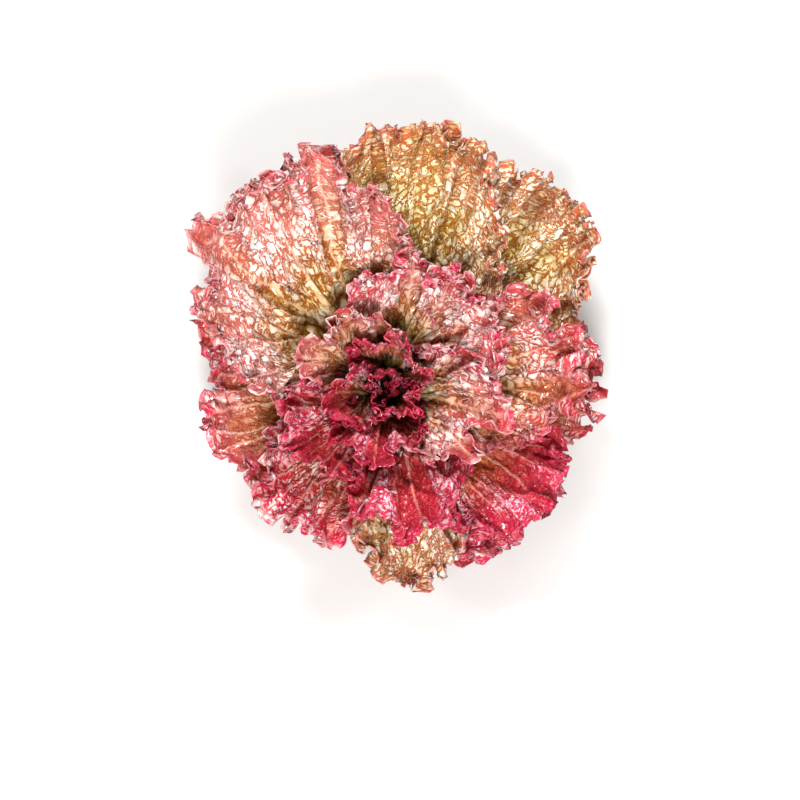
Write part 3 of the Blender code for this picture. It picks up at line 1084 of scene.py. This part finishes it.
class LeafSkin(Finish):
    """Finish of a leaf, with the masks that its colours, gloss and relief share."""

    def __init__(self, name):
        super().__init__(name)
        self.net = self.map("net")
        self.along, self.mm_in, self.crest = self.map("zone")
        self.rib_away, self.rib_sure, self.rib_half = self.map("rib")
        redness, greenness, self.paleness = self.map("tint")
        place = self.node("ShaderNodeTexCoord", {}, {}, "Object")
        patterns = (DRIFT, MOTTLE, FINE, GRAIN)
        self.drift, self.mottle, self.fine, self.grain = (self.noise(place, *sort) - 0.5 for sort in patterns)
        self.inwards, self.luck = blister_net(self, self.net, self.along)
        self.wrinkle = self.net_noise(*WRINKLES)

        # How far up a blister a place lies, how pale it is, and its tone from the base to the edge, which is
        # lowered a little low on the folds as painted shade
        self.swell = (self.inwards / BLISTER_SIDE + self.wrinkle * 0.5 + self.mottle * 0.9).eased(0.0, 1.05)
        self.pale = (self.paleness + self.drift * 1.2).eased(0.2, 0.9)
        self.tone = self.along + self.drift * 0.35 + self.mottle * 0.10 - (0.6 - self.crest) * 0.15
        self.red = (redness + self.drift * 0.35 + (self.along - 0.75)).eased(0.15, 0.95)
        self.olive = (greenness + self.drift * 0.6 - (self.along - 0.6) * 0.4).eased(0.10, 0.80)
        # Painted shade: the valleys between the folds, low on the crest map, take darker hollow colours and
        # less painted highlight
        self.painted_valley_shade = (0.70 - self.crest + self.drift * 0.7).eased(0.1, 0.6) * self.along.eased(0.1, 0.3)

    def net_noise(self, along_finer, across_finer, detail):
        """Random pattern that follows the net of blisters."""
        place = self.vector(self.net[0] * along_finer, self.net[1] * across_finer)
        return self.noise(place, 1.0, detail) - 0.5

    def layers(self):
        """Colours of the blisters' grooves, sides and tops, the tops painted pale as highlight, and of the
        hollows between the folds, painted as shade.
        """
        for golden, olive, red in zip(GOLDEN, OLIVE, RED):
            colour = self.blend(self.olive, self.ramp(self.tone, golden), self.ramp(self.tone, olive))
            yield self.blend(self.red, colour, self.ramp(self.tone, red))

    def painted_highlight(self):
        """Painted highlight: pale, near-white colour on the blister tops, more on fold ridges and less in
        valleys, standing in for gloss. Fine creases part it.
        """
        shine = self.luck * 0.45 + self.puff() * 0.20 + self.crest * 0.50 + self.drift * 0.6 + self.fine * 0.4
        shine = shine + self.olive * 0.25 + self.paleness.least(1.0) * 0.30
        painted_highlight = self.swell.eased(0.38, 1.0) * shine.eased(0.35 + self.red * 0.10, 0.95 - self.red * 0.15)
        painted_highlight = painted_highlight * self.tone.eased(0.10, 0.40) * (1 - self.painted_valley_shade * 0.35)
        return painted_highlight * (1 - (1 - self.net_noise(*CREASES).size().eased(0.0, 0.04)) * 0.8)

    def puff(self):
        """Height on the large puffs between the ribs."""
        return self.map("puff")[0]

    def painted_glints(self):
        """Painted glints: fine pale specks on the red leaves, standing in for small highlights."""
        shown = self.grain.eased(0.10, 0.20) * self.red.eased(0.2, 0.8) * self.along.eased(0.3, 0.6)
        return shown * (self.swell * 0.3 + 0.08)

    def blistered(self, painted_highlight):
        """Colour of the skin from the grooves up to the tops, frosted on the outer part of pale leaves, with
        painted shade in the fold valleys and painted highlight on the tops and in glints.
        """
        groove, side, top, hollow = self.layers()
        frost = self.pale * (self.along + self.drift * 0.5 + self.luck * 0.1).eased(0.70, 0.95)
        frost = frost * (1 - self.red.eased(0.4, 0.75)) * (1 - self.olive * 0.7)
        side = self.blend(frost * 0.65, side, FROST)
        # Painted shade: darker hollow colour on the sides in the valleys between the folds.
        side = self.blend(self.painted_valley_shade * 0.55, side, hollow)
        groove = self.blend(frost * 0.15, groove, FROST)
        colour = self.blend(self.swell.eased(0.05, 0.45), groove, side)
        # Painted highlight: pale top colour, whiter towards cream on pale leaves.
        top = self.blend(self.pale * 0.7, top, CREAM)
        # Painted highlight and painted glints laid over the skin.
        return self.blend(1 - (1 - painted_highlight) * (1 - self.painted_glints()), colour, top)

    def ribbed(self, colour):
        """The colour with crisp, thin ribs over it, fainter on red and olive leaves."""
        rib = (1 - (self.rib_away.size() / self.rib_half).eased(0.65, 1.25)) * self.rib_sure.eased(0.0, 0.4)
        share = rib * self.mm_in.eased(1.5, 6.0)
        share = share * (0.8 - self.red * (0.15 + self.along * 0.35) - self.olive * 0.4)
        share = share * (self.drift + self.mottle).eased(-0.35, -0.05)
        return self.blend(share, colour, self.ramp(self.along + self.red * 0.3, RIB_COLOURS))

    def rimmed(self, colour, painted_highlight):
        """The colour with a flecked pink or red rim, and a thin dark line at its very edge."""
        rim = 1 - ((self.mm_in + 0.4 + self.mottle * 8.0) / (1 + self.red * 0.8)).eased(0.1, 2.8)
        rim_colour = self.blend(self.red.eased(0.1, 0.6), RIM_CORAL, RIM_RED)
        rim_colour = self.blend(self.fine.eased(0.02, 0.16), rim_colour, RIM_PINK)
        rim_colour = self.blend(self.pale * self.mottle.eased(-0.1, 0.15), rim_colour, CREAM)
        # The rim is fainter where the painted highlight lies.
        colour = self.blend(rim * (0.75 - painted_highlight * 0.3 - self.olive * 0.35), colour, rim_colour)
        edge = (1 - self.mm_in.eased(0.0, 0.6)) * (1 - self.pale * 0.5)
        return self.blend(edge * (0.4 + self.red.eased(0.1, 0.5) * 0.6) * 0.7, colour, EDGE_RED)

    def relief(self):
        """Bumps of the blisters, their wrinkles and the grain of the skin."""
        dome = 1 - (1 - ((self.inwards + self.wrinkle * 0.5) / BLISTER_ROUND).held()) ** 2
        height = dome * (1.1 - self.red * 0.4) + self.wrinkle * 0.25 + self.fine * 0.08
        height = height + self.mottle * 0.12 + self.grain * 0.10
        return self.node("ShaderNodeBump", {}, {"Strength": 1.0, "Distance": 0.0010, "Height": height})


def leaf_finish(name):
    """Leaf skin: painted highlight on the blister tops, coloured sides and dark grooves, fine ribs, and a wet
    gloss.
    """
    skin = LeafSkin(name)
    # Painted highlight on the blister tops.
    painted_highlight = skin.painted_highlight()
    rough = 0.26 + (1 - skin.swell) * 0.20 + skin.fine * 0.12
    skin.set(Base_Color=skin.rimmed(skin.ribbed(skin.blistered(painted_highlight)), painted_highlight), Roughness=rough.held())
    skin.set(Coat_Weight=skin.swell.eased(0.1, 0.6), Coat_Roughness=0.12, Specular_IOR_Level=0.2)
    skin.set(Subsurface_Weight=0.3, Subsurface_Scale=0.003, Subsurface_Radius=(1.0, 0.6, 0.4))
    skin.set(Normal=skin.relief())
    return skin.material


# Stem: where the browned ring of its cut face begins and ends, and how far up the face's colour reaches
RING_INSIDE = (0.0100, 0.0135)
RING_OUTSIDE = (0.0140, 0.0160)
CUT_FACE = (0.0004, 0.0016)
FLESH = ((0.3, linear(196, 200, 140)), (0.7, linear(232, 230, 190)))
DRIED_FLESH = ((0.35, linear(206, 178, 130)), (0.7, linear(232, 218, 176)))
RING_BROWN = linear(168, 118, 78)
STREAK_BROWN = linear(186, 128, 92)


def stem_finish():
    """Cut stem: pale green flesh, with browned streaks and a dried cut face."""
    finish = Finish("stem_flesh")
    place = finish.node("ShaderNodeTexCoord", {}, {}, "Object")
    x, y, z = finish.parts(place)
    streaks = finish.noise(finish.node("ShaderNodeMapping", {}, {0: place, 3: (1.0, 1.0, 0.12)}), 260.0, 3.0)
    spots = finish.noise(place, 420.0, 3.0)
    away = (x * x + y * y) ** 0.5
    ring = away.eased(*RING_INSIDE) * (1 - away.eased(*RING_OUTSIDE))
    face = 1 - z.eased(*CUT_FACE)
    colour = finish.blend(face * 0.8, finish.ramp(streaks, FLESH), finish.ramp(spots, DRIED_FLESH))
    colour = finish.blend(face * ring * 0.5, colour, RING_BROWN)
    colour = finish.blend(streaks.eased(0.62, 0.78) * 0.5, colour, STREAK_BROWN)
    finish.set(Base_Color=colour, Roughness=(0.42 + (spots - 0.5) * 0.2).held(), Specular_IOR_Level=0.5)
    inputs = {"Strength": 0.5, "Distance": 0.0008, "Height": streaks + spots * 0.4}
    finish.set(Normal=finish.node("ShaderNodeBump", {}, inputs))
    return finish.material


# Camera: nearly overhead, as in the photograph, where 1 pixel of 800 is 0.55 mm at the head
PIXEL = 0.00055
IMAGE_WIDTH = 800
SENSOR_WIDTH = 36
CAMERA_RISE = math.radians(70)
CAMERA_AWAY = 1.1
ORIGIN_PIXEL = (385, 411)

# Studio: the point that the lights face, each light's place, size and power, and the floor and surround
LIGHT_TARGET = (0.0, 0.0, 0.06)
LIGHTS = {
    "key_light": ((-0.20, 0.35, 1.20), 0.36, 11.8),
    "camera_light": ((0.06, -0.84, 1.02), 0.34, 22.5),
    "back_light": ((0.35, 0.85, 0.95), 0.36, 4.5),
    "left_light": ((-0.95, -0.05, 0.85), 0.26, 4.0),
    "right_light": ((0.95, 0.15, 0.75), 0.26, 2.6),
}
FLOOR_SIZE = 6
FLOOR_COLOUR = (0.62, 0.61, 0.60, 1.0)
SURROUND_COLOUR = (1.0, 0.96, 0.92, 1.0)
SURROUND_STRENGTH = 0.22


def make_camera():
    """Camera at the photograph's angle and framing, aimed beside the head as the photograph is."""
    data = bpy.data.cameras.new("camera")
    data.sensor_width = SENSOR_WIDTH
    data.lens = data.sensor_width * CAMERA_AWAY / (IMAGE_WIDTH * PIXEL)
    camera = bpy.data.objects.new("camera", data)
    bpy.context.scene.collection.objects.link(camera)
    camera.rotation_euler = (math.pi / 2 - CAMERA_RISE, 0, 0)
    right = (IMAGE_WIDTH / 2 - ORIGIN_PIXEL[0]) * PIXEL
    up = (ORIGIN_PIXEL[1] - IMAGE_WIDTH / 2) * PIXEL
    camera.location = (
        right,
        up * math.sin(CAMERA_RISE) - CAMERA_AWAY * math.cos(CAMERA_RISE),
        up * math.cos(CAMERA_RISE) + CAMERA_AWAY * math.sin(CAMERA_RISE),
    )
    bpy.context.scene.camera = camera


def make_light(name, place, size, power):
    """A square soft light that faces the middle of the head."""
    data = bpy.data.lights.new(name, "AREA")
    data.size = size
    data.energy = power
    light = bpy.data.objects.new(name, data)
    light.location = place
    bpy.context.scene.collection.objects.link(light)
    x, y, z = np.array(LIGHT_TARGET) - np.array(place)
    light.rotation_euler = (math.acos(-z / math.hypot(x, y, z)), 0, math.atan2(-x, y))


def make_studio():
    """Pale floor, five soft lights and a dim even surround."""
    bpy.ops.mesh.primitive_plane_add(size=FLOOR_SIZE)
    floor = bpy.context.object
    floor.name = "floor"
    paper = Finish("floor_paper")
    paper.set(Base_Color=FLOOR_COLOUR, Roughness=0.7)
    floor.data.materials.append(paper.material)
    for name, (place, size, power) in LIGHTS.items():
        make_light(name, place, size, power)
    surround = bpy.data.worlds.new("surround")
    surround.use_nodes = True
    background = surround.node_tree.nodes["Background"]
    background.inputs["Color"].default_value = SURROUND_COLOUR
    background.inputs["Strength"].default_value = SURROUND_STRENGTH
    bpy.context.scene.world = surround
    bpy.context.scene.view_settings.view_transform = "Standard"


def dress_leaves():
    """A fine leaf in place of each packed one, golden red outside and crimson in the heart."""
    outer, inner = leaf_finish("leaf_golden_red"), leaf_finish("leaf_crimson")
    leaves = [Leaf(index) for index in INDEXES]
    for leaf in leaves:
        make_leaf(leaf, leaves, outer if leaf.order <= OUTER_LEAVES else inner)


def dress_stem():
    """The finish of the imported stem."""
    stem = bpy.data.objects["stem"]
    stem.data.materials.clear()
    stem.data.materials.append(stem_finish())


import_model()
make_camera()
make_studio()
dress_leaves()
dress_stem()
